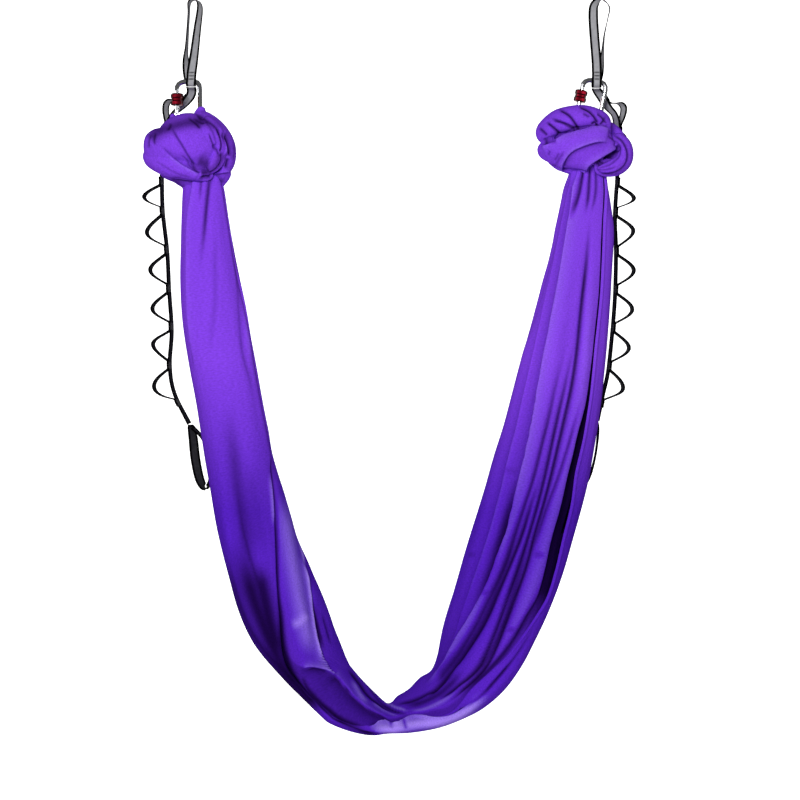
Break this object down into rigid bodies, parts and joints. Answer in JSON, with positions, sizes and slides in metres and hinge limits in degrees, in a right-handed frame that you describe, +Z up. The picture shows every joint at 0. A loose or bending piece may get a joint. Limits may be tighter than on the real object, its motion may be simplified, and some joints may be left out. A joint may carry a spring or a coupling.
{
  "type": "aerial hammock",
  "caption": "Gathered cloth sling hung from screw-lock carabiners in pocketed webbing chains, for aerial yoga and circus practice.",
  "frame": {"origin": "bearing point inside the crown of the left anchor loop, where the ceiling fitting carries it", "axes": "+X from the left anchor loop to the right one, +Y to the back, +Z up"},
  "size_m": [0.9985, 0.2722, 1.4693],
  "materials": {
    "webbing": "black woven nylon webbing, plain weave, slight sheen",
    "steel": "polished plated steel",
    "sleeve": "dark red anodised aluminium, glossy",
    "cloth": "violet nylon tricot with a satin face"
  },
  "bodies": {
    "anchors": {"left_anchor_loop": "webbing", "right_anchor_loop": "webbing"},
    "sling": {"sling_cloth": "cloth", "left_carabiner_body": "steel", "left_gate_pin": "steel", "left_knot": "cloth", "left_chain_base": "webbing", "left_chain_pockets": "webbing", "right_carabiner_body": "steel", "right_gate_pin": "steel", "right_knot": "cloth", "right_chain_base": "webbing", "right_chain_pockets": "webbing"},
    "left_gate": {"left_gate": "steel", "left_gate_spring": "steel", "left_gate_plunger": "steel"},
    "left_sleeve": {"left_screw_sleeve": "sleeve"},
    "left_tail": {"left_tail_base": "webbing", "left_tail_pockets": "webbing", "left_tail_end_loop": "webbing"},
    "right_gate": {"right_gate": "steel", "right_gate_spring": "steel", "right_gate_plunger": "steel"},
    "right_sleeve": {"right_screw_sleeve": "sleeve"},
    "right_tail": {"right_tail_base": "webbing", "right_tail_pockets": "webbing", "right_tail_end_loop": "webbing"}
  },
  "joints": [
    {"name": "sling_swing", "type": "hinge", "parent": "anchors", "child": "sling", "pos_m": [-0.006, 0, -0.163], "axis": [1, 0, 0], "range_deg": [-20, 20]},
    {"name": "left_gate_open", "type": "hinge", "parent": "sling", "child": "left_gate", "pos_m": [-0.034, 0, -0.224], "axis": [0, 1, 0], "range_deg": [0, 25], "stiffness_Nm_per_rad": 0.6, "springref_deg": -20.05},
    {"name": "left_sleeve_travel", "type": "slide", "parent": "left_gate", "child": "left_sleeve", "axis": [0, 0, 1], "range_m": [0, 0.008]},
    {"name": "left_tail_swing", "type": "hinge", "parent": "sling", "child": "left_tail", "pos_m": [-0.069, 0.051, -0.344], "axis": [0, 1, 0], "range_deg": [0, 25]},
    {"name": "right_gate_open", "type": "hinge", "parent": "sling", "child": "right_gate", "pos_m": [0.76793, 0, -0.21685], "axis": [0, 1, 0], "range_deg": [0, 25], "stiffness_Nm_per_rad": 0.6, "springref_deg": -20.05},
    {"name": "right_sleeve_travel", "type": "slide", "parent": "right_gate", "child": "right_sleeve", "axis": [0.2079, 0, 0.9781], "range_m": [0, 0.008]},
    {"name": "right_tail_swing", "type": "hinge", "parent": "sling", "child": "right_tail", "pos_m": [0.851, 0.051, -0.344], "axis": [0, -1, 0], "range_deg": [0, 25]}
  ]
}
